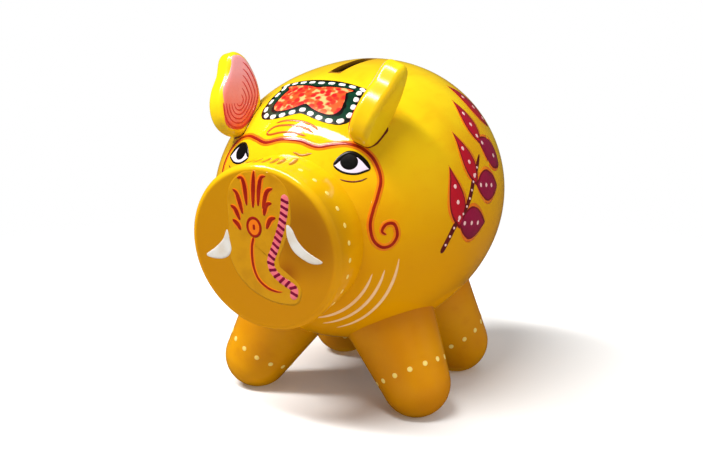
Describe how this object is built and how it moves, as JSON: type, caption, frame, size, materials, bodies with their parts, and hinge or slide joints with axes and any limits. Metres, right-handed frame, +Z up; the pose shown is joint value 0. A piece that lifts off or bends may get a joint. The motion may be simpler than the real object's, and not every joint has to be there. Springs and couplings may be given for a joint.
{
  "type": "wooden money box",
  "caption": "Turned wooden pig money box with a round body, drum snout, splayed legs, plate ears, a coin slot in its back and a pull-out stopper under its belly.",
  "frame": {"origin": "on the floor, under the middle of the overall length and width", "axes": "+Z up; the pig looks along -Y; +X is the pig's own left side"},
  "size_m": [0.1, 0.1284, 0.1274],
  "materials": {
    "lacquered_wood": "gloss yellow lacquer",
    "bare_wood": "bare turned wood",
    "stopper_rubber": "matt black"
  },
  "bodies": {
    "pig": {"body_front_shell": "lacquered_wood", "body_rear_shell": "lacquered_wood", "snout": "lacquered_wood", "front_left_leg": "lacquered_wood", "front_right_leg": "lacquered_wood", "rear_left_leg": "lacquered_wood", "rear_right_leg": "lacquered_wood", "left_ear": "lacquered_wood", "right_ear": "lacquered_wood", "front_left_leg_dowel": "bare_wood", "front_right_leg_dowel": "bare_wood", "rear_left_leg_dowel": "bare_wood", "rear_right_leg_dowel": "bare_wood", "left_ear_dowel": "bare_wood", "right_ear_dowel": "bare_wood"},
    "stopper": {"belly_stopper": "stopper_rubber"}
  },
  "joints": [
    {"name": "stopper_pull", "type": "slide", "parent": "pig", "child": "stopper", "axis": [0, 0, -1], "range_m": [0, 0.018]}
  ]
}
